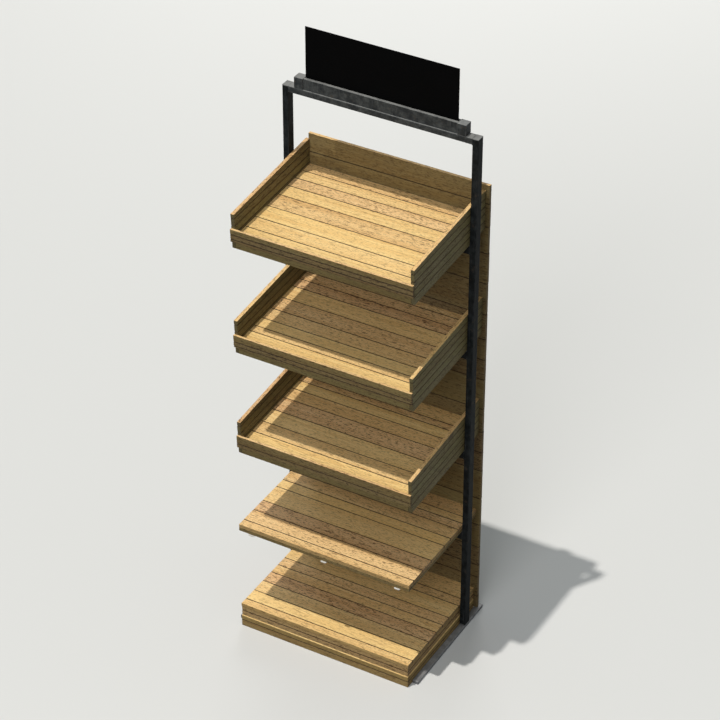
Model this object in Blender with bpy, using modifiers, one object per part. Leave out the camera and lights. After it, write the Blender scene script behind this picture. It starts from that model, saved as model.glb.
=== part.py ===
# Free-standing display rack: a steel portal frame on two foot bars, three tilted plank
# trays, one flat plank shelf, a plank base box, a plank back panel and a sign holder.
# Planks are tongue-and-groove, glued up into panels, with a shadow gap at every seam.
# Metres, +Z up, front towards -Y, floor at z = 0, origin under the middle of the rack.
import math

import bmesh
import bpy
from mathutils import Matrix, Vector

# Clearances
SEAT_GAP = 0.0003            # between pieces that touch
BOARD_GAP = 0.0016           # shadow gap at the seam between neighbouring planks
POST_CLEARANCE = 0.001       # between a shelf's side and a post or foot bar
SHEET_CLEARANCE = 0.0005     # each side of the sign sheet in its slot
SHEET_END_CLEARANCE = 0.003  # between the sheet's edge and an end block

# Steel frame
POST_TOP = 1.800
POST_WIDTH = 0.020
POST_DEPTH = 0.030
TUBE_WALL = 0.0015
TUBE_CORNER = 0.0025
POST_STANDOFF = 0.068        # post's rear face to the back panel
RAIL_HEIGHT = 0.030
CROSSBAR_HEIGHT = 0.020
FOOT_HEIGHT = 0.012
FOOT_CORNER = 0.0012
FOOT_SETBACK = 0.027         # foot bar's nose behind the base front
FOOT_TAIL = 0.0035           # foot bar past the panel's rear face
CAP_PLATE = 0.0015
CAP_PLUG = 0.012
CAP_FIT = 0.0004             # cap's plug inside the tube bore
CAP_EDGE = 0.0004

# Arms that carry the shelves and tie the back panel to the frame
ARM_THICKNESS = 0.005
ARM_INSET = 0.1025           # arm's middle from the shelf's side
ARM_NOSE_SHARE = 0.33        # of the depth under the boards
ARM_SETBACK = 0.030          # arm's nose behind the front board
TAB_WIDTH = 0.030
TAB_THICKNESS = 0.004

# Mesh clean-up
WELD_DISTANCE = 0.00001
FLAT_ANGLE = math.radians(0.05)

# Plank goods shared by all shelves
SHELF_WIDTH = 0.605
SHELF_REACH = 0.435          # front of the rack to the back panel
BOARD_THICKNESS = 0.012
BOARD_CHAMFER = 0.0008
TONGUE_THICKNESS = 0.003     # glued tongue at mid-thickness of a seam

# Trays
TRAY_COUNT = 3
TRAY_TILT = math.radians(3.0)
TOP_TRAY_HEIGHT = 1.423      # underside of the top tray, at the lip
TRAY_PITCH = 0.3715
WALL_THICKNESS = 0.012
WALL_FRONT_HEIGHT = 0.119
WALL_BACK_HEIGHT = 0.132
LIP_THICKNESS = 0.008
LIP_BOTTOM = 0.026           # lip's lower edge above the tray's underside
LIP_TOP = 0.070
STRIP_THICKNESS = 0.012      # front strip behind the lip, under the floor
TRAY_FLOOR_UNDERSIDE = 0.034
CLEAT_WIDTH = 0.018
WALL_SEAM_SHARES = (0.24, 0.45, 0.66, 0.875)
LIP_SEAM_SHARES = (
    (0.22, 0.59),
    (0.13, 0.47),
    (0.34,),
)
TRAY_BOARD_SHARES = (
    (0.131, 0.262, 0.414, 0.568, 0.692, 0.798, 0.899),
    (0.147, 0.216, 0.317, 0.444, 0.589, 0.743, 0.841, 0.940),
    (0.145, 0.276, 0.428, 0.582, 0.706, 0.809, 0.871),
)

# Flat shelf
FLAT_SHELF_TOP = 0.409
FLAT_FRAME_HEIGHT = 0.013
FLAT_BOARD_SHARES = (0.067, 0.198, 0.324, 0.513, 0.607, 0.724, 0.800, 0.871)

# Base box
BASE_TOP = 0.090
PLINTH_HEIGHT = 0.040
PLINTH_CHAMFER = 0.004       # along the plinth's top outer edge
BASE_BEARER_WIDTH = 0.030
PLINTH_SEAM_SHARES = (0.58,)
FASCIA_SEAM_SHARES = (0.58,)
BASE_BOARD_SHARES = (0.064, 0.177, 0.300, 0.418, 0.513, 0.609, 0.761, 0.841)

# Back panel
PANEL_RISE = 0.165           # panel's top edge above the top tray's underside
PANEL_THICKNESS = 0.020
PANEL_OVERHANG = 0.0045      # past each side of the shelves
BATTEN_WIDTH = 0.040
BATTEN_THICKNESS = 0.018
BATTEN_INSET = 0.1025        # batten's middle from the shelf's side
BATTEN_END_INSET = 0.030
PANEL_BOARD_SHARES = (0.030, 0.079, 0.110, 0.156, 0.213, 0.279, 0.348, 0.393, 0.442,
                      0.498, 0.568, 0.614, 0.662, 0.719, 0.789, 0.856, 0.914, 0.965)

# Sign holder
BLOCK_WIDTH = 0.029
BLOCK_HEIGHT = 0.036
BLOCK_INSET = 0.0204         # post's inner face to the block
BLOCK_EDGE = 0.0010
BAR_SETBACK = 0.003          # bars behind the faces of the blocks
SHEET_THICKNESS = 0.003
SHEET_HEIGHT = 0.203
SHEET_EDGE = 0.0004

# Worked out from the sizes above
RACK_DEPTH = SHELF_REACH + PANEL_THICKNESS + SEAT_GAP + BATTEN_THICKNESS
FRONT_Y = -RACK_DEPTH / 2
PANEL_Y = FRONT_Y + SHELF_REACH
POST_BACK_Y = PANEL_Y - POST_STANDOFF
POST_FRONT_Y = POST_BACK_Y - POST_DEPTH
POST_Y = (POST_FRONT_Y + POST_BACK_Y) / 2
HALF_WIDTH = SHELF_WIDTH / 2
POST_INNER_X = HALF_WIDTH + POST_CLEARANCE
POST_X = POST_INNER_X + POST_WIDTH / 2
PANEL_TOP = TOP_TRAY_HEIGHT + PANEL_RISE

SIDES = (("left", -1), ("right", 1))


def start_collections():
    """Empties the file and returns the collections of the parts and of the cutters."""
    for thing in list(bpy.data.objects):
        bpy.data.objects.remove(thing, do_unlink=True)
    parts = bpy.data.collections.new("display_rack")
    cutters = bpy.data.collections.new("cutters")
    bpy.context.scene.collection.children.link(parts)
    bpy.context.scene.collection.children.link(cutters)
    return parts, cutters


PARTS, CUTTERS = start_collections()


def make_material(name, colour, roughness, metallic=0.0):
    """Returns a Principled material."""
    material = bpy.data.materials.new(name)
    material.use_nodes = True
    shader = material.node_tree.nodes["Principled BSDF"]
    shader.inputs["Base Color"].default_value = (*colour, 1.0)
    shader.inputs["Roughness"].default_value = roughness
    shader.inputs["Metallic"].default_value = metallic
    return material


PLANK_WOOD = make_material("plank_wood", (0.48, 0.33, 0.16), 0.65)
BEARER_WOOD = make_material("bearer_wood", (0.42, 0.30, 0.16), 0.75)
DARK_STEEL = make_material("dark_steel", (0.045, 0.047, 0.052), 0.45, 0.6)
FOOT_STEEL = make_material("foot_steel", (0.16, 0.16, 0.19), 0.40, 0.7)
CAP_PLASTIC = make_material("cap_plastic", (0.20, 0.20, 0.21), 0.60)
SIGN_BLACK = make_material("sign_black", (0.004, 0.004, 0.004), 0.85)


def place_object(name, data, material, parent=None, location=(0, 0, 0)):
    """Links an object to the parts, under its parent, with its material."""
    data.materials.append(material)
    thing = bpy.data.objects.new(name, data)
    thing.location = location
    thing.parent = parent
    PARTS.objects.link(thing)
    return thing


def add_chamfer(thing, width, segments=1):
    """Rounds an object's edges."""
    bevel = thing.modifiers.new("edges", "BEVEL")
    bevel.width = width
    bevel.segments = segments
    bevel.limit_method = "ANGLE"
    return bevel


def add_box(name, low, high, material, chamfer=BOARD_CHAMFER, segments=1, parent=None):
    """Adds one cuboid between two corners, with chamfered edges and its origin in its middle."""
    low, high = Vector(low), Vector(high)
    shape = bmesh.new()
    bmesh.ops.create_cube(shape, size=1.0, matrix=Matrix.Diagonal((*(high - low), 1.0)))
    mesh = bpy.data.meshes.new(name)
    shape.to_mesh(mesh)
    shape.free()
    thing = place_object(name, mesh, material, parent, (low + high) / 2)
    add_chamfer(thing, chamfer, segments)
    return thing


def outline_curve(name, loops, length):
    """Returns a flat filled curve of closed loops, given a thickness of length."""
    curve = bpy.data.curves.new(name, "CURVE")
    curve.dimensions = "2D"
    curve.fill_mode = "BOTH"
    curve.extrude = length / 2
    for loop in loops:
        spline = curve.splines.new("POLY")
        spline.points.add(len(loop) - 1)
        for point, (a, b) in zip(spline.points, loop):
            point.co = (a, b, 0.0, 1.0)
        spline.use_cyclic_u = True
    return curve


def add_profile(name, loops, length, centre, across, up, material, parent=None):
    """Adds an outline in the plane of across and up, pushed out to both sides of centre."""
    across, up = Vector(across), Vector(up)
    turn = Matrix((across, up, across.cross(up))).transposed()
    thing = place_object(name, outline_curve(name, loops, length), material, parent, centre)
    thing.rotation_euler = turn.to_euler()
    return thing


def to_mesh(thing):
    """Replaces an outline's curve object by a mesh object with whole flat ends."""
    bpy.context.view_layer.update()
    evaluated = thing.evaluated_get(bpy.context.evaluated_depsgraph_get())
    mesh = bpy.data.meshes.new_from_object(evaluated)
    shape = bmesh.new()
    shape.from_mesh(mesh)
    bmesh.ops.remove_doubles(shape, verts=shape.verts, dist=WELD_DISTANCE)
    bmesh.ops.dissolve_limit(shape, angle_limit=FLAT_ANGLE, verts=shape.verts, edges=shape.edges)
    shape.to_mesh(mesh)
    shape.free()
    name, parent, place = thing.name, thing.parent, thing.matrix_basis.copy()
    bpy.data.objects.remove(thing, do_unlink=True)
    solid = bpy.data.objects.new(name, mesh)
    solid.matrix_basis = place
    solid.parent = parent
    PARTS.objects.link(solid)
    return solid


def saw(thing, point, normal):
    """Cuts off what lies beyond a plane, given in the parent's frame, and closes the cut."""
    into = thing.matrix_basis.inverted()
    shape = bmesh.new()
    shape.from_mesh(thing.data)
    flat = bmesh.ops.bisect_plane(
        shape, geom=[*shape.verts, *shape.edges, *shape.faces],
        plane_co=into @ Vector(point), plane_no=into.to_3x3() @ Vector(normal),
        clear_outer=True)
    rim = [part for part in flat["geom_cut"] if isinstance(part, bmesh.types.BMEdge)]
    bmesh.ops.contextual_create(shape, geom=rim)
    bmesh.ops.recalc_face_normals(shape, faces=shape.faces)
    shape.to_mesh(thing.data)
    shape.free()


def rounded_rectangle(width, depth, radius, steps=3):
    """Returns the points of a rectangle with round corners, about its middle."""
    points = []
    for quarter in range(4):
        sign_a = 1 if quarter in (0, 3) else -1
        sign_b = 1 if quarter in (0, 1) else -1
        corner = Vector((sign_a * (width / 2 - radius), sign_b * (depth / 2 - radius)))
        for step in range(steps + 1):
            angle = math.pi / 2 * (quarter + step / steps)
            points.append(corner + radius * Vector((math.cos(angle), math.sin(angle))))
    return points


def tube_loops(width, depth):
    """Returns the outer and the inner outline of a rectangular steel tube."""
    bore_corner = TUBE_CORNER - TUBE_WALL
    return (rounded_rectangle(width, depth, TUBE_CORNER),
            rounded_rectangle(width - 2 * TUBE_WALL, depth - 2 * TUBE_WALL, bore_corner))


def plank_outline(thickness, start, end, seams):
    """Returns the section of planks laid edge to edge, with a slot at each seam on both faces."""
    half = BOARD_GAP / 2
    depth = (thickness - TONGUE_THICKNESS) / 2
    near = [(0.0, start)]
    for seam in seams:
        near += [(0.0, seam - half), (depth, seam - half), (depth, seam + half), (0.0, seam + half)]
    near.append((0.0, end))
    far = [(thickness, end)]
    for seam in reversed(seams):
        far += [(thickness, seam + half), (thickness - depth, seam + half),
                (thickness - depth, seam - half), (thickness, seam - half)]
    far.append((thickness, start))
    return near + far


def seam_places(shares, start, end):
    """Returns the places of the seams along a row of planks."""
    return [start + share * (end - start) for share in shares]


def add_planks(name, outline, length, centre, across, up, parent=None):
    """Adds planks as one solid: their section pushed out to both sides of centre."""
    planks = to_mesh(add_profile(name, [outline], length, centre, across, up, PLANK_WOOD, parent))
    add_chamfer(planks, BOARD_CHAMFER)
    return planks


class Shelf:
    """A shelf's own frame: s runs back along its floor, h stands square to it."""

    def __init__(self, name, front_bottom, tilt, front_height):
        self.name = name
        self.tilt = tilt
        self.y = FRONT_Y + front_height * math.sin(tilt)
        self.z = front_bottom
        self.empty = bpy.data.objects.new(name + "_place", None)
        self.empty.location = (0, self.y, self.z)
        self.empty.rotation_euler = (tilt, 0, 0)
        PARTS.objects.link(self.empty)

    def local(self, y, z):
        """Returns a world place in the side view as (s, h)."""
        across, up = y - self.y, z - self.z
        return (across * math.cos(self.tilt) + up * math.sin(self.tilt),
                up * math.cos(self.tilt) - across * math.sin(self.tilt))

    def back(self, h):
        """Returns how far back the shelf reaches at height h, to its seat on the panel."""
        return (PANEL_Y - SEAT_GAP - self.y + h * math.sin(self.tilt)) / math.cos(self.tilt)

    def rail_top(self):
        """Returns the height of the cross-rail that the shelf rests on."""
        return self.z + (POST_FRONT_Y - self.y) * math.tan(self.tilt) - SEAT_GAP


def add_posts():
    """Two upright tubes on the foot bars, closed by plug caps."""
    foot_top = FOOT_HEIGHT + SEAT_GAP
    tube_top = POST_TOP - CAP_PLATE - SEAT_GAP
    for side, sign in SIDES:
        middle = sign * POST_X
        add_profile(side + "_post", tube_loops(POST_WIDTH, POST_DEPTH), tube_top - foot_top,
                    (middle, POST_Y, (tube_top + foot_top) / 2), (1, 0, 0), (0, 1, 0), DARK_STEEL)
        add_box(side + "_foot", (middle - POST_WIDTH / 2, FRONT_Y + FOOT_SETBACK, 0),
                (middle + POST_WIDTH / 2, PANEL_Y + PANEL_THICKNESS + FOOT_TAIL, FOOT_HEIGHT),
                FOOT_STEEL, FOOT_CORNER, 2)
        cap = add_box(side + "_post_cap", (middle - POST_WIDTH / 2, POST_FRONT_Y, POST_TOP - CAP_PLATE),
                      (middle + POST_WIDTH / 2, POST_BACK_Y, POST_TOP), CAP_PLASTIC, CAP_EDGE)
        add_plug(cap, TUBE_WALL + CAP_FIT)


def add_plug(cap, inset):
    """Pushes a plug for the tube's bore out of a cap's underside."""
    shape = bmesh.new()
    shape.from_mesh(cap.data)
    under = [min(shape.faces, key=lambda face: face.calc_center_median().z)]
    bmesh.ops.inset_region(shape, faces=under, thickness=inset, use_even_offset=True)
    pushed = bmesh.ops.extrude_face_region(shape, geom=under)
    bmesh.ops.delete(shape, geom=under, context="FACES")
    stem = [part for part in pushed["geom"] if isinstance(part, bmesh.types.BMVert)]
    bmesh.ops.translate(shape, verts=stem, vec=(0, 0, -CAP_PLUG))
    shape.to_mesh(cap.data)
    shape.free()


def add_cross_tube(name, top, height):
    """A level tube between the posts, with its ends against them."""
    length = 2 * (POST_INNER_X - SEAT_GAP)
    add_profile(name, tube_loops(POST_DEPTH, height), length, (0, POST_Y, top - height / 2),
                (0, 1, 0), (0, 0, 1), DARK_STEEL)


def add_arms(shelf, underside):
    """Two plate arms under the boards, seated on the rail, with a tab against the panel."""
    top = underside - SEAT_GAP
    nose = LIP_THICKNESS + ARM_SETBACK
    seat = shelf.rail_top() + SEAT_GAP
    rail_s, rail_h = shelf.local(POST_FRONT_Y, seat)
    tail_s, tail_h = shelf.local(PANEL_Y - SEAT_GAP, seat)
    tab_s, tab_h = shelf.local(PANEL_Y - SEAT_GAP - TAB_THICKNESS, seat)
    tab_back = (shelf.back(top), top)
    tab_front = (shelf.back(top) - TAB_THICKNESS, top)
    plate = [(nose, top), (nose, top - ARM_NOSE_SHARE * underside), (rail_s, rail_h),
             (tail_s, tail_h), tab_back]
    tab_plate = [tab_front, (tab_s, tab_h), (tail_s, tail_h), tab_back]
    for side, sign in SIDES:
        place = (sign * (HALF_WIDTH - ARM_INSET), 0, 0)
        name = "%s_%s_arm" % (shelf.name, side)
        arm = to_mesh(add_profile(name, [plate], ARM_THICKNESS, place, (0, 1, 0), (0, 0, 1),
                                  DARK_STEEL, shelf.empty))
        tab = to_mesh(add_profile(name + "_tab", [tab_plate], TAB_WIDTH, place, (0, 1, 0), (0, 0, 1),
                                  DARK_STEEL, shelf.empty))
        PARTS.objects.unlink(tab)
        CUTTERS.objects.link(tab)
        tab.hide_render = True
        tab.display_type = "WIRE"
        join = arm.modifiers.new("tab", "BOOLEAN")
        join.operation = "UNION"
        join.solver = "EXACT"
        join.object = tab


def add_floor(shelf, shares, low, start, half_width):
    """Planks side by side from the front to the panel."""
    end = shelf.back(low)
    outline = plank_outline(BOARD_THICKNESS, start, end, seam_places(shares, start, end))
    add_planks(shelf.name + "_floor", outline, 2 * half_width, (0, 0, low), (0, 0, 1), (0, 1, 0),
               shelf.empty)


def add_tray(number):
    """A tilted tray: lip, two side walls, front strip, cleats, floor planks and arms."""
    front_bottom = TOP_TRAY_HEIGHT - (number - 1) * TRAY_PITCH
    shelf = Shelf("tray_%d" % number, front_bottom, TRAY_TILT, LIP_TOP)
    inner_x = HALF_WIDTH - WALL_THICKNESS
    start = LIP_THICKNESS + SEAT_GAP
    frame_top = TRAY_FLOOR_UNDERSIDE - SEAT_GAP

    seams = seam_places(LIP_SEAM_SHARES[number - 1], LIP_BOTTOM, LIP_TOP)
    lip = plank_outline(LIP_THICKNESS, LIP_BOTTOM, LIP_TOP, seams)
    add_planks(shelf.name + "_lip", lip, SHELF_WIDTH, (0, 0, 0), (0, 1, 0), (0, 0, 1), shelf.empty)
    strip_x = inner_x - SEAT_GAP
    strip_back = start + STRIP_THICKNESS
    add_box(shelf.name + "_front_strip", (-strip_x, start, 0), (strip_x, strip_back, frame_top),
            PLANK_WOOD, parent=shelf.empty)

    length = shelf.back(WALL_BACK_HEIGHT) - start
    section = plank_outline(WALL_THICKNESS, 0.0, WALL_BACK_HEIGHT,
                            seam_places(WALL_SEAM_SHARES, 0.0, WALL_FRONT_HEIGHT))
    slope = math.atan2(WALL_BACK_HEIGHT - WALL_FRONT_HEIGHT, shelf.back(0) - start)
    for side, sign in SIDES:
        place = (sign * HALF_WIDTH, start + length / 2, 0)
        wall = add_planks("%s_%s_wall" % (shelf.name, side), section, length, place,
                          (-sign, 0, 0), (0, 0, 1), shelf.empty)
        saw(wall, (0, shelf.back(0), 0), (0, math.cos(shelf.tilt), -math.sin(shelf.tilt)))
        saw(wall, (0, start, WALL_FRONT_HEIGHT), (0, -math.sin(slope), math.cos(slope)))
        edges = sorted((sign * strip_x, sign * (strip_x - CLEAT_WIDTH)))
        add_box("%s_%s_cleat" % (shelf.name, side), (edges[0], strip_back + SEAT_GAP, 0),
                (edges[1], shelf.back(0), frame_top), BEARER_WOOD, parent=shelf.empty)

    add_floor(shelf, TRAY_BOARD_SHARES[number - 1], TRAY_FLOOR_UNDERSIDE, start, strip_x)
    add_arms(shelf, TRAY_FLOOR_UNDERSIDE)
    add_cross_tube(shelf.name + "_rail", shelf.rail_top(), RAIL_HEIGHT)


def add_flat_shelf():
    """The level shelf: a low frame under full-width planks."""
    bottom = FLAT_SHELF_TOP - BOARD_THICKNESS - FLAT_FRAME_HEIGHT
    shelf = Shelf("shelf_4", bottom, 0.0, 0.0)
    frame_top = FLAT_FRAME_HEIGHT - SEAT_GAP
    add_box("shelf_4_front_frame", (-HALF_WIDTH, 0, 0), (HALF_WIDTH, BOARD_THICKNESS, frame_top),
            PLANK_WOOD, parent=shelf.empty)
    for side, sign in SIDES:
        edges = sorted((sign * HALF_WIDTH, sign * (HALF_WIDTH - BOARD_THICKNESS)))
        add_box("shelf_4_%s_frame" % side, (edges[0], BOARD_THICKNESS + SEAT_GAP, 0),
                (edges[1], shelf.back(0), frame_top), PLANK_WOOD, parent=shelf.empty)
    add_floor(shelf, FLAT_BOARD_SHARES, FLAT_FRAME_HEIGHT, 0.0, HALF_WIDTH)
    add_arms(shelf, FLAT_FRAME_HEIGHT)
    add_cross_tube("shelf_4_rail", shelf.rail_top(), RAIL_HEIGHT)


def add_base():
    """The floor-standing box: plinth, fascia, deck planks and a middle bearer."""
    shelf = Shelf("base", 0.0, 0.0, 0.0)
    deck_bottom = BASE_TOP - BOARD_THICKNESS
    inner = BOARD_THICKNESS + SEAT_GAP
    length = shelf.back(0) - inner
    shoulder = PLINTH_HEIGHT - PLINTH_CHAMFER
    tiers = (("plinth", 0.0, PLINTH_HEIGHT, PLINTH_SEAM_SHARES),
             ("fascia", PLINTH_HEIGHT + SEAT_GAP, deck_bottom - SEAT_GAP, FASCIA_SEAM_SHARES))
    for tier, bottom, top, shares in tiers:
        section = plank_outline(BOARD_THICKNESS, bottom, top, seam_places(shares, bottom, top))
        front = add_planks("base_front_" + tier, section, SHELF_WIDTH, (0, 0, 0), (0, 1, 0), (0, 0, 1),
                           shelf.empty)
        if tier == "plinth":
            saw(front, (0, 0, shoulder), (0, -1, 1))
        for side, sign in SIDES:
            place = (sign * HALF_WIDTH, inner + length / 2, 0)
            board = add_planks("base_%s_%s" % (side, tier), section, length, place, (-sign, 0, 0), (0, 0, 1),
                               shelf.empty)
            if tier == "plinth":
                saw(front, (sign * HALF_WIDTH, 0, shoulder), (sign, 0, 1))
                saw(board, (sign * HALF_WIDTH, 0, shoulder), (sign, 0, 1))
    add_box("base_bearer", (-BASE_BEARER_WIDTH / 2, inner, 0),
            (BASE_BEARER_WIDTH / 2, shelf.back(0), deck_bottom - SEAT_GAP), BEARER_WOOD, parent=shelf.empty)
    add_floor(shelf, BASE_BOARD_SHARES, deck_bottom, 0.0, HALF_WIDTH)


def add_back_panel():
    """Horizontal planks standing on the foot bars, held by two battens behind."""
    half_width = HALF_WIDTH + PANEL_OVERHANG
    bottom = FOOT_HEIGHT + SEAT_GAP
    seams = seam_places(PANEL_BOARD_SHARES, bottom, PANEL_TOP)
    outline = plank_outline(PANEL_THICKNESS, bottom, PANEL_TOP, seams)
    add_planks("back_panel", outline, 2 * half_width, (0, PANEL_Y, 0), (0, 1, 0), (0, 0, 1))
    rear = PANEL_Y + PANEL_THICKNESS + SEAT_GAP
    for side, sign in SIDES:
        middle = sign * (HALF_WIDTH - BATTEN_INSET)
        add_box("back_%s_batten" % side, (middle - BATTEN_WIDTH / 2, rear, bottom + BATTEN_END_INSET),
                (middle + BATTEN_WIDTH / 2, rear + BATTEN_THICKNESS, PANEL_TOP - BATTEN_END_INSET), BEARER_WOOD)


def add_sign_holder():
    """Two end blocks and two bars on the crossbar, with the sheet standing between the bars."""
    low, high = POST_TOP + SEAT_GAP, POST_TOP + SEAT_GAP + BLOCK_HEIGHT
    outer_x = POST_INNER_X - BLOCK_INSET
    inner_x = outer_x - BLOCK_WIDTH
    for side, sign in SIDES:
        edges = sorted((sign * outer_x, sign * inner_x))
        add_box("sign_%s_block" % side, (edges[0], POST_FRONT_Y, low), (edges[1], POST_BACK_Y, high),
                DARK_STEEL, BLOCK_EDGE, 2)
    slot = SHEET_THICKNESS / 2 + SHEET_CLEARANCE
    bar_x = inner_x - SEAT_GAP
    add_box("sign_front_bar", (-bar_x, POST_FRONT_Y + BAR_SETBACK, low), (bar_x, POST_Y - slot, high),
            DARK_STEEL, BLOCK_EDGE, 2)
    add_box("sign_rear_bar", (-bar_x, POST_Y + slot, low), (bar_x, POST_BACK_Y - BAR_SETBACK, high),
            DARK_STEEL, BLOCK_EDGE, 2)
    sheet_x = inner_x - SHEET_END_CLEARANCE
    add_box("sign_sheet", (-sheet_x, POST_Y - SHEET_THICKNESS / 2, low),
            (sheet_x, POST_Y + SHEET_THICKNESS / 2, low + SHEET_HEIGHT), SIGN_BLACK, SHEET_EDGE)


add_posts()
add_cross_tube("top_crossbar", POST_TOP, CROSSBAR_HEIGHT)
for tray in range(1, TRAY_COUNT + 1):
    add_tray(tray)
add_flat_shelf()
add_base()
add_back_panel()
add_sign_holder()
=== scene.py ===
import math
import random

import bmesh
import bpy
from mathutils import Matrix, Vector


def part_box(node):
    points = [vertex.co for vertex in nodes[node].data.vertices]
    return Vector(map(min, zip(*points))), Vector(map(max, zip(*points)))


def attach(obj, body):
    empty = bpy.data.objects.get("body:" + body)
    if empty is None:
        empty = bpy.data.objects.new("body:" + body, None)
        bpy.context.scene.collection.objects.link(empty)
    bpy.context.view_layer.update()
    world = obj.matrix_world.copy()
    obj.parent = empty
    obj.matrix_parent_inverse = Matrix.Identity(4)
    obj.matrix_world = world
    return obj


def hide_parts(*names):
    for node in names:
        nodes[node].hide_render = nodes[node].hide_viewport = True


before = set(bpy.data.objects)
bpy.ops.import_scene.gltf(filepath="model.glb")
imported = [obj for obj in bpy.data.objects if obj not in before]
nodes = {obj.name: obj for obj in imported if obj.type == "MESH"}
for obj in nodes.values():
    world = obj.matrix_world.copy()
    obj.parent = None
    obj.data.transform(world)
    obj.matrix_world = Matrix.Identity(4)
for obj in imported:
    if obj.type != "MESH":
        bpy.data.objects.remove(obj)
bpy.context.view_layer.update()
dice = random.Random(41)
print("frame loaded:", len(nodes), "nodes")

# ---- studio ----

studio = {
    "cameraPlace": (3.4243, -5.9846, 5.8304), "cameraAim": (-0.1182, 0.1991, 0.8308),
    "lens": 140.15, "sensor": 36.0,
    "sunFrom": (-0.148, -0.245, 1.0),   # read off the shadows that the shelves throw
    "sunPower": 2.25, "sunSpread": math.radians(1.0), "sunColour": (1.0, 0.97, 0.92),
    "softboxes": (("frontSoftbox", (1.3, -7.3, 5.7), 4.0, 275.0),   # place, size, power
                  ("rearSoftbox", (-3.0, 6.5, 3.6), 3.0, 130.0)),
    "softboxAim": (0, 0, 0.9),
    "skyLow": 0.13, "skyHigh": 0.30, "skyColour": (0.88, 0.98, 1.0, 1.0),
    "backdropLow": (0.49, 0.495, 0.485), "backdropHigh": (0.74, 0.74, 0.73), "backdropRise": 0.5,
    "floorSize": 40, "floorSeen": (0.65, 0.65, 0.64), "floorBounce": (0.10, 0.10, 0.10),
    "floorRough": 0.9, "floorShine": 0.1,
}


def deselect():
    bpy.ops.object.select_all(action="DESELECT")


def put(tree, kind, feeds=None, **settings):
    # one node, its settings, and what feeds its sockets: a value or another node's output
    step = tree.nodes.new(kind)
    for key, value in settings.items():
        setattr(step, key, value)
    for key, value in (feeds or {}).items():
        if isinstance(value, bpy.types.NodeSocket):
            tree.links.new(value, step.inputs[key])
        else:
            step.inputs[key].default_value = value
    return step


def sums(tree, operation, *values):
    return put(tree, "ShaderNodeMath", dict(enumerate(values)), operation=operation).outputs[0]


def stretched(tree, vector, scale):
    return put(tree, "ShaderNodeVectorMath", {0: vector, 1: scale}, operation="MULTIPLY").outputs[0]


def noise(tree, vector, scale, detail=2.0, rough=0.5):
    step = put(tree, "ShaderNodeTexNoise",
               {"Vector": stretched(tree, vector, scale), "Scale": 1.0,
                "Detail": detail, "Roughness": rough})
    return step.outputs["Fac"]


def ranged(tree, value, low, high, toLow=0.0, toHigh=1.0):
    feeds = {"Value": value, "From Min": low, "From Max": high, "To Min": toLow, "To Max": toHigh}
    return put(tree, "ShaderNodeMapRange", feeds, interpolation_type="SMOOTHSTEP").outputs["Result"]


def blended(tree, amount, first, second, how="MIX"):
    step = put(tree, "ShaderNodeMix", data_type="RGBA", blend_type=how)
    for place, value in ((0, amount), (6, first), (7, second)):
        socket = step.inputs[place]
        if isinstance(value, bpy.types.NodeSocket):
            tree.links.new(value, socket)
        elif isinstance(value, tuple) and len(value) == 3:
            socket.default_value = (*value, 1.0)
        else:
            socket.default_value = value
    return step.outputs[2]


def layered(tree, colour, mask, depth, shade, how="MIX"):
    return blended(tree, sums(tree, "MULTIPLY", mask, depth), colour, shade, how)


def relief(tree, shader, height, strength, distance):
    feeds = {"Height": height, "Strength": strength, "Distance": distance}
    tree.links.new(put(tree, "ShaderNodeBump", feeds).outputs[0], shader.inputs["Normal"])


def newGroup(name, takes, gives):
    tree = bpy.data.node_groups.new(name, "ShaderNodeTree")
    for label, kind in takes:
        tree.interface.new_socket(label, in_out="INPUT", socket_type=kind)
    for label, kind in gives:
        tree.interface.new_socket(label, in_out="OUTPUT", socket_type=kind)
    return tree, tree.nodes.new("NodeGroupInput"), tree.nodes.new("NodeGroupOutput")


def newMaterial(name):
    material = bpy.data.materials.new(name)
    material.use_nodes = True
    return material, material.node_tree, material.node_tree.nodes["Principled BSDF"]


def dress(names, material):
    for name in names:
        nodes[name].data.materials.clear()
        nodes[name].data.materials.append(material)


def facingUp(tree):
    normal = put(tree, "ShaderNodeNewGeometry").outputs["Normal"]
    return put(tree, "ShaderNodeSeparateXYZ", {0: normal}).outputs[2]


def seenDirectly(tree):
    # what the camera and reflections see, apart from what lights the object
    path = put(tree, "ShaderNodeLightPath")
    return sums(tree, "MAXIMUM", path.outputs["Is Camera Ray"], path.outputs["Is Glossy Ray"])


def setCamera():
    bpy.ops.object.camera_add(location=studio["cameraPlace"])
    camera = bpy.context.object
    camera.name = "camera"
    look = Vector(studio["cameraAim"]) - Vector(studio["cameraPlace"])
    camera.rotation_euler = look.to_track_quat("-Z", "Y").to_euler()
    camera.data.lens = studio["lens"]
    camera.data.sensor_width = studio["sensor"]
    bpy.context.scene.camera = camera


def setLamps():
    bpy.ops.object.light_add(type="SUN", location=(0, 0, 4))
    sun = bpy.context.object
    sun.name = "sun"
    sun.rotation_euler = Vector(studio["sunFrom"]).to_track_quat("Z", "Y").to_euler()
    sun.data.energy = studio["sunPower"]
    sun.data.angle = studio["sunSpread"]
    sun.data.color = studio["sunColour"]
    for name, place, size, power in studio["softboxes"]:
        bpy.ops.object.light_add(type="AREA", location=place)
        box = bpy.context.object
        box.name = name
        aim = Vector(studio["softboxAim"]) - Vector(place)
        box.rotation_euler = aim.to_track_quat("-Z", "Y").to_euler()
        box.data.size = size
        box.data.energy = power


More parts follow.
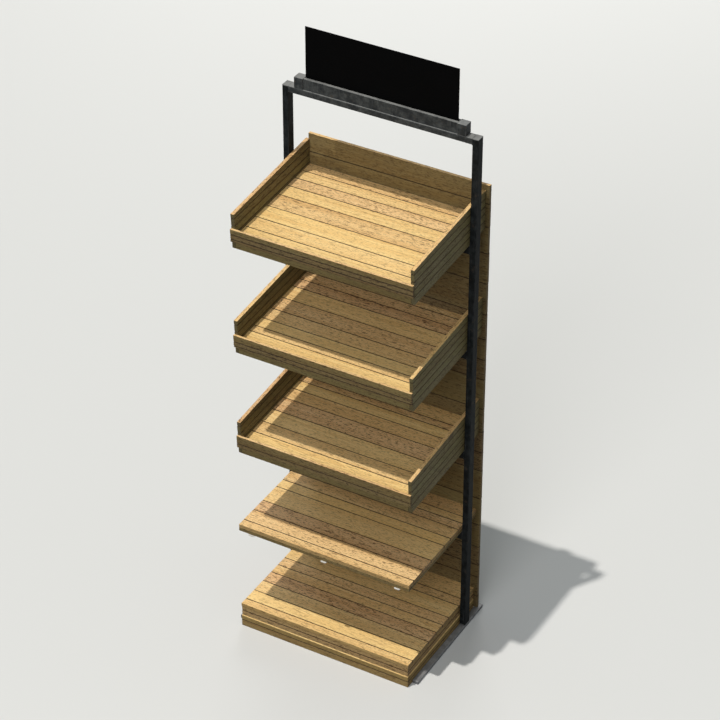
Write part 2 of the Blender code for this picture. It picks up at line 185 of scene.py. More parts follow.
def setFloor():
    bpy.ops.mesh.primitive_plane_add(size=studio["floorSize"], location=(0, 0, 0))
    floor = bpy.context.object
    floor.name = "studioFloor"
    material, tree, shader = newMaterial("studioFloor")
    colour = blended(tree, seenDirectly(tree), studio["floorBounce"], studio["floorSeen"])
    tree.links.new(colour, shader.inputs["Base Color"])
    shader.inputs["Roughness"].default_value = studio["floorRough"]
    shader.inputs["Specular IOR Level"].default_value = studio["floorShine"]
    floor.data.materials.append(material)


def setWorld():
    world = bpy.context.scene.world or bpy.data.worlds.new("studio")
    bpy.context.scene.world = world
    world.use_nodes = True
    tree = world.node_tree
    tree.nodes.clear()
    seen = seenDirectly(tree)
    way = put(tree, "ShaderNodeTexCoord").outputs["Generated"]
    rise = put(tree, "ShaderNodeSeparateXYZ", {0: way}).outputs[2]
    strength = ranged(tree, rise, 0.0, 1.0, studio["skyLow"], studio["skyHigh"])
    light = put(tree, "ShaderNodeBackground", {"Color": studio["skyColour"], "Strength": strength})
    height = ranged(tree, rise, 0.0, studio["backdropRise"])
    pale = blended(tree, height, studio["backdropLow"], studio["backdropHigh"])
    drop = put(tree, "ShaderNodeBackground", {"Color": pale, "Strength": 1.0})
    both = put(tree, "ShaderNodeMixShader", {0: seen, 1: light.outputs[0], 2: drop.outputs[0]})
    put(tree, "ShaderNodeOutputWorld", {"Surface": both.outputs[0]})
    bpy.context.scene.view_settings.view_transform = "Standard"


deselect()
setCamera()
setLamps()
setFloor()
setWorld()
print("studio set")

# ---- wood ----

wood = {
    "pale": (0.95, 0.69, 0.30), "paleDeep": (0.90, 0.61, 0.24),
    "tan": (0.86, 0.57, 0.30), "tanDeep": (0.68, 0.41, 0.20),
    "speck": (0.17, 0.085, 0.032), "knot": (0.17, 0.070, 0.022), "dirt": (0.022, 0.013, 0.007),
    "ringShade": (0.70, 0.57, 0.43), "streakShade": (0.74, 0.62, 0.48),
    "endShade": (0.30, 0.18, 0.09), "grimeShade": (0.36, 0.31, 0.25),
    "streakDepth": 0.42, "fleckLeast": 0.42, "knotDepth": 0.82, "endDepth": 0.42, "seamDepth": 0.90,
    "upright": (0.66, 0.30),   # painted shade: a face that turns up less than this is darkened by its material's tint as if in shade; one turned up further keeps its full tone
    "bump": 0.55, "bumpHeight": 0.0005, "shine": 0.3, "streakDull": 0.18, "grimeDull": 0.10,
}
fibre = {                      # scales run along, across and through the board, per metre
    "ringPitch": 0.0046, "ringEdge": 2.6, "wander": 0.034, "knotPull": 0.009,
    "wanderScale": (1.7, 8.0, 8.0), "streakScale": (3.2, 330.0, 330.0),
    "broadScale": (1.1, 34.0, 34.0), "fineScale": (95.0, 560.0, 560.0),
    "coarseScale": (60.0, 230.0, 230.0), "grimeScale": (7.0, 7.0, 7.0),
    "knotScale": (4.2, 9.0, 3.0), "knotsFrom": 0.74, "knotSize": (0.14, 0.07),
    "pullSize": (0.42, 0.05), "fine": (0.56, 0.68), "coarse": (0.54, 0.64),
    "broad": (0.30, 0.72), "lines": (0.40, 0.68), "grime": (0.45, 0.75),
    "streakRise": 0.8, "ringRise": -0.35, "speckRise": -0.5,
}


def woodGroup():
    # solid wood round a pith that runs along x: the same rings show on faces and on ends
    masks = ("Ring", "Streak", "Broad", "Speck", "Knot", "Height")
    tree, start, end = newGroup("solidWood", [("Grain", "NodeSocketVector")],
                                [(name, "NodeSocketFloat") for name in masks])
    grain = start.outputs["Grain"]
    parts = put(tree, "ShaderNodeSeparateXYZ", {0: grain}).outputs

    spread = stretched(tree, grain, fibre["knotScale"])
    spots = put(tree, "ShaderNodeTexVoronoi", {"Vector": spread, "Scale": 1.0})
    pick = put(tree, "ShaderNodeSeparateColor", {0: spots.outputs["Color"]}).outputs[0]
    few = sums(tree, "GREATER_THAN", pick, fibre["knotsFrom"])
    knot = sums(tree, "MULTIPLY", ranged(tree, spots.outputs["Distance"], *fibre["knotSize"]), few)
    pull = sums(tree, "MULTIPLY", ranged(tree, spots.outputs["Distance"], *fibre["pullSize"]), few)

    wander = noise(tree, grain, fibre["wanderScale"], 3.0)
    across = sums(tree, "SQRT", sums(tree, "ADD", sums(tree, "MULTIPLY", parts[1], parts[1]),
                                     sums(tree, "MULTIPLY", parts[2], parts[2])))
    radius = sums(tree, "MULTIPLY_ADD", wander, fibre["wander"], across)
    radius = sums(tree, "MULTIPLY_ADD", pull, fibre["knotPull"], radius)
    turn = sums(tree, "FRACT", sums(tree, "DIVIDE", radius, fibre["ringPitch"]))
    ring = sums(tree, "POWER", turn, fibre["ringEdge"])

    streak = noise(tree, grain, fibre["streakScale"], 4.0, 0.6)
    broad = noise(tree, grain, fibre["broadScale"], 2.0)
    fine = ranged(tree, noise(tree, grain, fibre["fineScale"], 2.0), *fibre["fine"])
    coarse = ranged(tree, noise(tree, grain, fibre["coarseScale"], 3.0, 0.65), *fibre["coarse"])
    speck = sums(tree, "MAXIMUM", fine, coarse)
    height = sums(tree, "MULTIPLY", ring, fibre["ringRise"])
    height = sums(tree, "MULTIPLY_ADD", streak, fibre["streakRise"], height)
    height = sums(tree, "MULTIPLY_ADD", speck, fibre["speckRise"], height)
    for name, value in zip(masks, (ring, streak, broad, speck, knot, height)):
        tree.links.new(value, end.inputs[name])
    return tree


solidWood = woodGroup()


def woodMaterial(name, speckling, ringing, greying, rough, paintedUprightShade):
    material, tree, shader = newMaterial(name)
    grain = put(tree, "ShaderNodeAttribute", attribute_name="grain").outputs["Vector"]
    look = put(tree, "ShaderNodeAttribute", attribute_name="look").outputs["Vector"]
    kind, seam, ends = put(tree, "ShaderNodeSeparateXYZ", {0: look}).outputs
    body = put(tree, "ShaderNodeGroup", node_tree=solidWood)
    tree.links.new(grain, body.inputs["Grain"])
    broad = ranged(tree, body.outputs["Broad"], *fibre["broad"])
    pale = blended(tree, broad, wood["pale"], wood["paleDeep"])
    tan = blended(tree, broad, wood["tan"], wood["tanDeep"])
    colour = blended(tree, kind, pale, tan)
    colour = layered(tree, colour, body.outputs["Ring"], ringing, wood["ringShade"], "MULTIPLY")
    lines = ranged(tree, body.outputs["Streak"], *fibre["lines"])
    colour = layered(tree, colour, lines, wood["streakDepth"], wood["streakShade"], "MULTIPLY")
    fleck = sums(tree, "MULTIPLY_ADD", kind, speckling, wood["fleckLeast"])
    colour = layered(tree, colour, body.outputs["Speck"], fleck, wood["speck"])
    colour = layered(tree, colour, body.outputs["Knot"], wood["knotDepth"], wood["knot"])
    colour = layered(tree, colour, ends, wood["endDepth"], wood["endShade"])
    place = put(tree, "ShaderNodeTexCoord").outputs["Object"]
    grime = ranged(tree, noise(tree, place, fibre["grimeScale"], 4.0, 0.6), *fibre["grime"])
    colour = layered(tree, colour, grime, greying, wood["grimeShade"])
    upright = ranged(tree, facingUp(tree), *wood["upright"])
    colour = blended(tree, upright, colour, paintedUprightShade, "MULTIPLY")   # painted shade: upright faces are darkened by the tint, standing in for the little light they get
    colour = layered(tree, colour, seam, wood["seamDepth"], wood["dirt"])
    tree.links.new(colour, shader.inputs["Base Color"])
    dull = sums(tree, "MULTIPLY_ADD", body.outputs["Streak"], wood["streakDull"], rough)
    dull = sums(tree, "MULTIPLY_ADD", grime, wood["grimeDull"], dull)
    tree.links.new(dull, shader.inputs["Roughness"])
    relief(tree, shader, body.outputs["Height"], wood["bump"], wood["bumpHeight"])
    shader.inputs["Specular IOR Level"].default_value = wood["shine"]
    return material


# the tint is painted shade: each wood below darkens its upright faces by its own amount
plankWood = woodMaterial("plankWood", speckling=0.68, ringing=0.46, greying=0.06, rough=0.52,
                         paintedUprightShade=(0.60, 0.605, 0.565))
sideFinish = {"speckling": 0.62, "ringing": 0.52, "greying": 0.12, "rough": 0.56}
sideWood = woodMaterial("sideWood", paintedUprightShade=(0.265, 0.29, 0.24), **sideFinish)
wallWood = woodMaterial("wallWood", paintedUprightShade=(0.225, 0.278, 0.255), **sideFinish)
panelWood = woodMaterial("panelWood", paintedUprightShade=(0.275, 0.305, 0.295), **sideFinish)
plinthWood = woodMaterial("plinthWood", paintedUprightShade=(0.41, 0.405, 0.355), **sideFinish)
bearerWood = woodMaterial("bearerWood", speckling=0.35, ringing=0.62, greying=0.30, rough=0.66,
                          paintedUprightShade=(0.46, 0.47, 0.44))
print("wood mixed")

# ---- boards ----

rack = {
    "front": -0.23665, "panel": 0.19835, "halfWidth": 0.3025, "touch": 0.0003,
    "seam": 0.0016, "edge": 0.0009, "segment": 0.05,
    "tongue": 0.003, "tongueBite": 0.0004, "tongueShort": 0.001,
    "sharp": math.radians(25), "smooth": math.radians(40), "flush": math.radians(0.5),
}
sawn = {                       # how one board differs from the next
    "along": 9, "aside": 0.06, "under": (0.015, 0.06),   # how far off the pith lies
    "ragged": 0.0006, "shy": 0.0003, "seamReach": 2.4, "tongueLook": (0.6, 0.9, 0.0),
    "wobble": 0.0005, "wobbleSize": 0.06,
}
facing = {"along": 0.7, "up": 0.9, "side": 0.3, "end": 0.6}   # the share of a direction that counts


def selectWhere(thing, part, wanted):
    # in edit mode, only the faces, edges or corners that pass the test
    bpy.ops.mesh.select_mode(type=part)
    bpy.ops.mesh.select_all(action="DESELECT")
    shape = bmesh.from_edit_mesh(thing.data)
    for item in {"FACE": shape.faces, "EDGE": shape.edges, "VERT": shape.verts}[part]:
        item.select_set(wanted(item))
    bmesh.update_edit_mesh(thing.data)


def runsAlong(edge, axis):
    run = edge.verts[0].co - edge.verts[1].co
    return abs(run[axis]) > facing["along"] * run.length


def turnsOver(edge, angle):
    return len(edge.link_faces) == 2 and edge.calc_face_angle(0.0) > angle


def moulded(board, axis):
    # cut the long edges up, then ease all sharp edges
    selectWhere(board, "EDGE", lambda edge: runsAlong(edge, axis))
    spots = [vert.co[axis] for vert in bmesh.from_edit_mesh(board.data).verts]
    pieces = int((max(spots) - min(spots)) / rack["segment"])
    if pieces:
        bpy.ops.mesh.subdivide(number_cuts=pieces)
    selectWhere(board, "EDGE", lambda edge: turnsOver(edge, rack["sharp"]))
    bpy.ops.mesh.bevel(offset=rack["edge"], segments=2, affect="EDGES")


def makeBoard(low, high, axis, cuts=(), plain=False):
    deselect()
    bpy.ops.mesh.primitive_cube_add(size=1, location=(low + high) / 2, scale=high - low)
    board = bpy.context.object
    bpy.ops.object.transform_apply(location=True, rotation=True, scale=True)
    if plain:
        return board
    bpy.ops.object.mode_set(mode="EDIT")
    bpy.ops.mesh.select_mode(type="EDGE")
    for point, normal in cuts:
        bpy.ops.mesh.select_all(action="SELECT")
        bpy.ops.mesh.bisect(plane_co=point, plane_no=normal, use_fill=True, clear_outer=True)
    if cuts:
        bpy.ops.mesh.select_all(action="SELECT")
        bpy.ops.mesh.dissolve_limited(angle_limit=rack["flush"])
    moulded(board, axis)
    bpy.ops.object.mode_set(mode="OBJECT")
    return board


def axesOf(spec):
    # along the boards, across them, and through their thickness
    return spec["axis"], spec["across"], 3 - spec["axis"] - spec["across"]


def stain(board, low, high, spec, kind, joined):
    # each board carries its own grain, tone, seam dirt and end grain to the material
    axis, across, depth = axesOf(spec)
    mesh = board.data
    middle = (low + high) / 2
    pith = (dice.uniform(-sawn["along"], sawn["along"]),
            middle[across] + dice.uniform(-sawn["aside"], sawn["aside"]),
            middle[depth] - dice.choice((-1, 1)) * dice.uniform(*sawn["under"]))
    grain = mesh.attributes.new("grain", "FLOAT_VECTOR", "POINT")
    for vert in mesh.vertices:
        grain.data[vert.index].vector = (vert.co[axis] + pith[0], vert.co[across] - pith[1],
                                         vert.co[depth] - pith[2])
    look = mesh.attributes.new("look", "FLOAT_VECTOR", "CORNER")
    reach = sawn["seamReach"] * rack["edge"]
    for face in mesh.polygons:
        seam = 0.0
        if abs(face.normal[across]) > facing["side"]:
            atLow = joined[0] and face.center[across] < low[across] + reach
            atHigh = joined[1] and face.center[across] > high[across] - reach
            seam = float(atLow or atHigh)
        end = float(abs(face.normal[axis]) > facing["end"])
        for corner in face.loop_indices:
            look.data[corner].vector = (kind, seam, end)


def joinUp(pieces, name):
    deselect()
    for piece in pieces:
        piece.select_set(True)
    bpy.context.view_layer.objects.active = pieces[0]
    if len(pieces) > 1:
        bpy.ops.object.join()
    whole = bpy.context.object
    whole.name = name
    whole.data.name = name
    return whole


roughSawn = bpy.data.textures.new("roughSawn", "CLOUDS")
roughSawn.noise_scale = sawn["wobbleSize"]
roughSawn.noise_depth = 2


def roughen(panel):
    uneven = panel.modifiers.new("uneven", "DISPLACE")
    uneven.texture = roughSawn
    uneven.texture_coords = "LOCAL"
    uneven.strength = sawn["wobble"]
    bpy.ops.object.modifier_apply(modifier="uneven")
    bpy.ops.object.shade_smooth_by_angle(angle=rack["smooth"])
    flats = panel.modifiers.new("flats", "WEIGHTED_NORMAL")   # wide faces stay flat
    flats.keep_sharp = True
    bpy.ops.object.modifier_apply(modifier="flats")


def seamLines(start, end, seams):
    return [start] + [start + share * (end - start) for share in seams] + [end]


def layTongue(spec, low, high, seamAt):
    # a tongue at mid-thickness fills the seam after a board
    axis, across, depth = axesOf(spec)
    seat, top = Vector(low), Vector(high)
    seat[across] = high[across] - rack["tongueBite"]
    top[across] = seamAt + rack["seam"] / 2 + rack["tongueBite"]
    middle = sum(spec["thick"]) / 2
    seat[depth], top[depth] = middle - rack["tongue"] / 2, middle + rack["tongue"] / 2
    seat[axis] += rack["tongueShort"]
    top[axis] -= rack["tongueShort"] + spec.get("tongueShy", 0.0)
    tongue = makeBoard(seat, top, axis, plain=True)
    stain(tongue, seat, top, spec, sawn["tongueLook"][0], (True, True))
    for value in tongue.data.attributes["look"].data:
        value.vector = sawn["tongueLook"]
    return tongue


def layBoards(spec):
    # boards side by side with a tongue in each seam, made flat and then set in place
    axis, across, depth = axesOf(spec)
    half = rack["seam"] / 2
    ragged = spec.get("ragged", sawn["ragged"])
    edges = seamLines(*spec["wide"], spec.get("seams", ()))
    last = len(edges) - 2
    pieces = []
    for number in range(last + 1):
        low, high = Vector((0, 0, 0)), Vector((0, 0, 0))
        joined = (number > 0, number < last)
        low[across] = edges[number] + half * joined[0]
        high[across] = edges[number + 1] - half * joined[1]
        low[axis], high[axis] = spec["along"]
        low[depth], high[depth] = spec["thick"]
        if not spec.get("cutEnd"):
            high[axis] -= dice.uniform(0, ragged)
        low[axis] += dice.uniform(0, ragged)
        if spec.get("face"):                                  # the shown face is a touch uneven
            shown = high if spec["face"] > 0 else low
            shown[depth] -= spec["face"] * dice.uniform(0, sawn["shy"])
        cuts = [cut[:2] for cut in spec.get("cuts", ()) if cut[2] is None or cut[2] == number]
        board = makeBoard(low, high, axis, cuts)
        stain(board, low, high, spec, spec["kinds"][number % len(spec["kinds"])], joined)
        pieces.append(board)
        if joined[1]:
            pieces.append(layTongue(spec, low, high, edges[number + 1]))
    panel = joinUp(pieces, spec["name"])
    roughen(panel)
    if spec.get("frame"):
        panel.matrix_world = spec["frame"]
        bpy.ops.object.transform_apply(location=True, rotation=True, scale=True)
    panel.data.materials.append(spec.get("wood", plankWood))
    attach(panel, "rack")
    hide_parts(spec["node"])


tray = {
    "tilt": math.radians(3), "undersides": (1.423, 1.0515, 0.680), "thick": 0.012,
    "wallFront": 0.119, "wallBack": 0.132, "lipThick": 0.008, "lip": (0.026, 0.070),
    "strip": 0.012, "floor": (0.034, 0.046), "cleat": 0.018,
    "wallSeams": (0.24, 0.45, 0.66, 0.875), "wallTones": (0.2, 0.9), "tongueShy": 0.008,
    "lipSeams": ((0.22, 0.59), (0.13, 0.47), (0.34,)),
    "floorSeams": ((0.131, 0.262, 0.414, 0.568, 0.692, 0.798, 0.899),
                   (0.147, 0.216, 0.317, 0.444, 0.589, 0.743, 0.841, 0.940),
                   (0.145, 0.276, 0.428, 0.582, 0.706, 0.809, 0.871)),
    "floorKinds": ((0.05, 0.15, 0.0, 0.45, 0.10, 0.65, 0.25, 0.50),
                   (0.0, 0.30, 0.05, 0.40, 0.60, 0.20, 0.85, 0.70, 0.45),
                   (0.0, 0.35, 0.15, 0.80, 0.40, 0.05, 0.60, 0.30)),
    "lipKinds": ((0.85, 0.95, 0.60), (0.75, 0.90, 0.55), (0.80, 0.65)),
    "stripKinds": (0.3,), "cleatKinds": (0.5,),
}


def makeTray(number):
    tilt = tray["tilt"]
    rise = tray["undersides"][number - 1]
    y = rack["front"] + tray["lip"][1] * math.sin(tilt)
    place = Matrix.Translation((0, y, rise)) @ Matrix.Rotation(tilt, 4, "X")
    touch = rack["touch"]
    half = rack["halfWidth"]
    inner = half - tray["thick"]
    start = tray["lipThick"] + touch

    def backAt(height):
        return (rack["panel"] - touch - y + height * math.sin(tilt)) / math.cos(tilt)

    name, node = "tray%d" % number, "tray_%d_" % number
    layBoards({"name": name + "Lip", "node": node + "lip", "axis": 0, "across": 2,
               "along": (-half, half), "wide": tray["lip"], "thick": (0.0, tray["lipThick"]),
               "seams": tray["lipSeams"][number - 1], "kinds": tray["lipKinds"][number - 1],
               "face": -1, "wood": sideWood, "frame": place})
    layBoards({"name": name + "Strip", "node": node + "front_strip", "axis": 0, "across": 2,
               "along": (touch - inner, inner - touch), "wide": (0.0, tray["floor"][0] - touch),
               "thick": (start, start + tray["strip"]), "kinds": tray["stripKinds"],
               "wood": sideWood, "frame": place})
    layBoards({"name": name + "Floor", "node": node + "floor", "axis": 0, "across": 1,
               "along": (touch - inner, inner - touch), "wide": (start, backAt(tray["floor"][0])),
               "thick": tray["floor"], "seams": tray["floorSeams"][number - 1],
               "kinds": tray["floorKinds"][number - 1], "face": 1, "frame": place})

    slope = math.atan2(tray["wallBack"] - tray["wallFront"], backAt(0) - start)
    top = tray["wallFront"]
    seams = [share * tray["wallFront"] / tray["wallBack"] for share in tray["wallSeams"]]
    rearCut = ((0, backAt(0), 0), (0, math.cos(tilt), -math.sin(tilt)), None)
    topCut = ((0, start, top), (0, -math.sin(slope), math.cos(slope)), len(seams))
    stripBack = start + tray["strip"]
    for side, sign in (("left", -1), ("right", 1)):
        sheet = sorted((sign * half, sign * inner))
        kinds = [dice.uniform(*tray["wallTones"]) for board in range(len(seams) + 1)]
        layBoards({"name": name + side.title() + "Wall", "node": node + side + "_wall",
                   "axis": 1, "across": 2, "along": (start, backAt(tray["wallBack"])),
                   "wide": (0.0, tray["wallBack"]), "thick": sheet, "seams": seams, "kinds": kinds,
                   "face": sign, "cutEnd": True, "tongueShy": tray["tongueShy"],
                   "cuts": (rearCut, topCut), "wood": wallWood, "frame": place})
        edge = sorted((sign * (inner - touch), sign * (inner - touch - tray["cleat"])))
        layBoards({"name": name + side.title() + "Cleat", "node": node + side + "_cleat",
                   "axis": 1, "across": 0, "along": (stripBack + touch, backAt(0)), "wide": edge,
                   "thick": (0.0, tray["floor"][0] - touch), "kinds": tray["cleatKinds"],
                   "wood": bearerWood, "frame": place})


for number in (1, 2, 3):
    makeTray(number)
    print("tray", number, "laid")

shelf = {
    "top": 0.409, "thick": 0.012, "frame": 0.013, "frameKinds": (0.6,),
    "seams": (0.067, 0.198, 0.324, 0.513, 0.607, 0.724, 0.800, 0.871),
    "kinds": (0.45, 0.55, 0.85, 0.20, 0.05, 0.45, 0.70, 0.30, 0.55),
}


def makeFlatShelf():
    half, front, touch = rack["halfWidth"], rack["front"], rack["touch"]
    back = rack["panel"] - touch
    low = shelf["top"] - shelf["thick"]
    under = low - shelf["frame"]
    layBoards({"name": "flatShelfFloor", "node": "shelf_4_floor", "axis": 0, "across": 1,
               "along": (-half, half), "wide": (front, back), "thick": (low, shelf["top"]),
               "seams": shelf["seams"], "kinds": shelf["kinds"], "face": 1})
    layBoards({"name": "flatShelfFront", "node": "shelf_4_front_frame", "axis": 0, "across": 2,
               "along": (-half, half), "wide": (under, low - touch),
               "thick": (front, front + shelf["thick"]), "kinds": shelf["frameKinds"],
               "wood": sideWood})
    for side, sign in (("left", -1), ("right", 1)):
        layBoards({"name": "flatShelf" + side.title(), "node": "shelf_4_%s_frame" % side,
                   "axis": 1, "across": 2, "along": (front + shelf["thick"] + touch, back),
                   "wide": (under, low - touch),
                   "thick": sorted((sign * half, sign * (half - shelf["thick"]))),
                   "kinds": shelf["frameKinds"], "wood": sideWood})


makeFlatShelf()
print("flat shelf laid")

base = {
    "ground": 0.0004, "top": 0.090, "thick": 0.012, "plinth": 0.044, "chamfer": 0.004,
    "shy": 0.0012, "bearer": 0.030, "bearerKinds": (0.5,),
    "seams": (0.064, 0.177, 0.300, 0.418, 0.513, 0.609, 0.761, 0.841),
    "kinds": (0.25, 0.0, 0.30, 0.85, 0.35, 0.60, 0.15, 0.50, 0.30),
    "tierSeams": (0.53,), "plinthKinds": (0.35, 0.05), "fasciaKinds": (0.75, 0.60),
}


def layTier(tier, low, high, shy, kinds, finish, frontCuts, sideCuts):
    # one ring of boards round the front and the sides
    half, front, touch = rack["halfWidth"], rack["front"], rack["touch"]
    inner = front + base["thick"]
    layBoards({"name": "baseFront" + tier.title(), "node": "base_front_" + tier,
               "axis": 0, "across": 2, "along": (shy - half, half - shy), "wide": (low, high),
               "thick": (front + shy, inner), "seams": base["tierSeams"], "kinds": kinds,
               "cuts": frontCuts, "wood": finish})
    for side, sign in (("left", -1), ("right", 1)):
        layBoards({"name": "base" + side.title() + tier.title(),
                   "node": "base_%s_%s" % (side, tier), "axis": 1, "across": 2,
                   "along": (inner + touch, rack["panel"] - touch), "wide": (low, high),
                   "thick": sorted((sign * (half - shy), sign * (half - base["thick"]))),
                   "seams": base["tierSeams"], "kinds": kinds, "cuts": sideCuts[sign],
                   "wood": finish})


def makeBase():
    half, front, touch = rack["halfWidth"], rack["front"], rack["touch"]
    back = rack["panel"] - touch
    deckLow = base["top"] - base["thick"]
    shoulder = base["plinth"] - base["chamfer"]
    sideCuts = {sign: ((((sign * half), 0, shoulder), (sign, 0, 1), 1),) for sign in (-1, 1)}
    frontCuts = (((0, front, shoulder), (0, -1, 1), 1),) + sideCuts[-1] + sideCuts[1]
    layTier("plinth", base["ground"], base["plinth"], 0.0, base["plinthKinds"], plinthWood,
            frontCuts, sideCuts)
    layTier("fascia", base["plinth"] + touch, deckLow - touch, base["shy"], base["fasciaKinds"],
            plankWood, (), {-1: (), 1: ()})
    layBoards({"name": "baseBearer", "node": "base_bearer", "axis": 1, "across": 0,
               "along": (front + base["thick"] + touch, back),
               "wide": (-base["bearer"] / 2, base["bearer"] / 2),
               "thick": (base["ground"], deckLow - touch), "kinds": base["bearerKinds"],
               "wood": bearerWood})
    layBoards({"name": "baseFloor", "node": "base_floor", "axis": 0, "across": 1,
               "along": (-half, half), "wide": (front, back), "thick": (deckLow, base["top"]),
               "seams": base["seams"], "kinds": base["kinds"], "face": 1})


makeBase()
print("base laid")

backPanel = {
    "low": 0.0123, "high": 1.5955, "thick": 0.020, "left": -0.2955, "right": 0.3155,
    "edge": 0.010, "bevel": 0.8,   # behind this much thickness the ends and the top are bevelled
    "seams": (0.0299, 0.0786, 0.1095, 0.1553, 0.2120, 0.2777, 0.3464, 0.3911, 0.4399,
              0.4956, 0.5653, 0.6111, 0.6589, 0.7156, 0.7853, 0.8519, 0.9097, 0.9604),
    "tones": (0.1, 0.95), "ragged": 0.0018,
    "batten": (0.040, 0.018), "battenX": 0.200, "battenEnds": (0.0423, 1.558),
    "battenKinds": (0.4,),
}


def makeBackPanel():
    left, right, high = backPanel["left"], backPanel["right"], backPanel["high"]
    near = rack["panel"]
    far = near + backPanel["thick"]
    edge = near + backPanel["edge"]
    top = len(backPanel["seams"])
    bevels = (((left, edge, 0), (-1, backPanel["bevel"], 0), None),
              ((right, edge, 0), (1, backPanel["bevel"], 0), None),
              ((0, edge, high), (0, 1, 1), top))
    kinds = [dice.uniform(*backPanel["tones"]) for board in range(top + 1)]
    layBoards({"name": "backPanel", "node": "back_panel", "axis": 0, "across": 2,
               "along": (left, right), "wide": (backPanel["low"], high), "thick": (near, far),
               "seams": backPanel["seams"], "kinds": kinds, "ragged": backPanel["ragged"],
               "cuts": bevels, "wood": panelWood})
    rear = far + rack["touch"]
    wide, thick = backPanel["batten"]
    for side, sign in (("left", -1), ("right", 1)):
        middle = sign * backPanel["battenX"]
        layBoards({"name": "back" + side.title() + "Batten", "node": "back_%s_batten" % side,
                   "axis": 2, "across": 0, "along": backPanel["battenEnds"],
                   "wide": (middle - wide / 2, middle + wide / 2), "thick": (rear, rear + thick),
                   "kinds": backPanel["battenKinds"], "wood": bearerWood})


makeBackPanel()
print("back panel laid")

# ---- steel ----

steel = {
    "dark": (0.005, 0.0065, 0.007), "light": (0.024, 0.028, 0.029), "bare": (0.26, 0.26, 0.27),
    "rust": (0.085, 0.060, 0.040), "dustAndHighlight": (0.25, 0.25, 0.242),
    "foot": (0.15, 0.152, 0.16), "footLight": (0.31, 0.312, 0.32),
    "header": (0.016, 0.019, 0.021), "headerLight": (0.070, 0.075, 0.075),
    "zinc": (0.62, 0.60, 0.56), "zincLight": (0.78, 0.76, 0.71),
    "cap": (0.05, 0.05, 0.052), "capLight": (0.10, 0.10, 0.10),
    "grainShade": (0.55, 0.55, 0.58), "grainDepth": 0.35, "scratchDepth": 0.25,
    "patchDull": 0.16, "dustDull": 0.25, "grainDull": 0.12, "bump": 0.25, "bumpHeight": 0.0002,
}
marks = {                      # scales per metre, and from where to where each mark fades in
    "patchScale": (42.0, 42.0, 42.0), "patch": (0.38, 0.68),
    "rustScale": (48.0, 48.0, 48.0), "rust": (0.58, 0.70),
    "fineScale": (420.0, 420.0, 420.0), "grain": (0.35, 0.70),
    "scratchScale": (260.0, 260.0, 9.0), "scratch": (0.60, 0.74),
    "rubScale": (60.0, 60.0, 60.0), "rub": (0.40, 0.62),
    "round": 0.0012, "edge": (0.995, 0.90), "lies": (0.55, 0.95),
    "dustScale": (30.0, 30.0, 30.0), "dustAndHighlight": (0.25, 0.62, 0.45),
}


def mottleGroup():
    masks = ("Patch", "Fine", "Scratch", "Rust")
    tree, start, end = newGroup("mottle", [("Place", "NodeSocketVector")],
                                [(name, "NodeSocketFloat") for name in masks])
    place = start.outputs["Place"]
    patch = ranged(tree, noise(tree, place, marks["patchScale"], 6.0, 0.72), *marks["patch"])
    rust = ranged(tree, noise(tree, place, marks["rustScale"], 5.0, 0.66), *marks["rust"])
    fine = noise(tree, place, marks["fineScale"], 3.0, 0.6)
    scratch = ranged(tree, noise(tree, place, marks["scratchScale"], 3.0, 0.7), *marks["scratch"])
    for name, value in zip(masks, (patch, fine, scratch, rust)):
        tree.links.new(value, end.inputs[name])
    return tree


def edgeGroup():
    # bright along the edges, from how far a rounded normal turns off the flat one
    tree, start, end = newGroup("edgeWear", [("Place", "NodeSocketVector")],
                                [("Worn", "NodeSocketFloat")])
    flat = put(tree, "ShaderNodeNewGeometry").outputs["Normal"]
    soft = put(tree, "ShaderNodeBevel", {"Radius": marks["round"]}, samples=4).outputs[0]
    turned = put(tree, "ShaderNodeVectorMath", {0: flat, 1: soft}, operation="DOT_PRODUCT")
    edge = ranged(tree, turned.outputs["Value"], *marks["edge"])
    rubbed = noise(tree, start.outputs["Place"], marks["rubScale"], 3.0, 0.6)
    worn = sums(tree, "MULTIPLY", edge, ranged(tree, rubbed, *marks["rub"]))
    tree.links.new(worn, end.inputs["Worn"])
    return tree


def dustAndHighlightGroup():
    # grey dust on what faces up, partly painted highlight: it lightens up-facing steel the way a
    # lit top looks
    tree, start, end = newGroup("dustAndHighlight", [("Place", "NodeSocketVector")],
                                [("DustAndHighlight", "NodeSocketFloat")])
    lies = ranged(tree, facingUp(tree), *marks["lies"])
    spread = noise(tree, start.outputs["Place"], marks["dustScale"], 5.0, 0.65)
    dustAndHighlightAmount = sums(tree, "MULTIPLY", lies, ranged(tree, spread, *marks["dustAndHighlight"]))
    tree.links.new(dustAndHighlightAmount, end.inputs["DustAndHighlight"])
    return tree


mottle, edgeWear, dustAndHighlight = mottleGroup(), edgeGroup(), dustAndHighlightGroup()


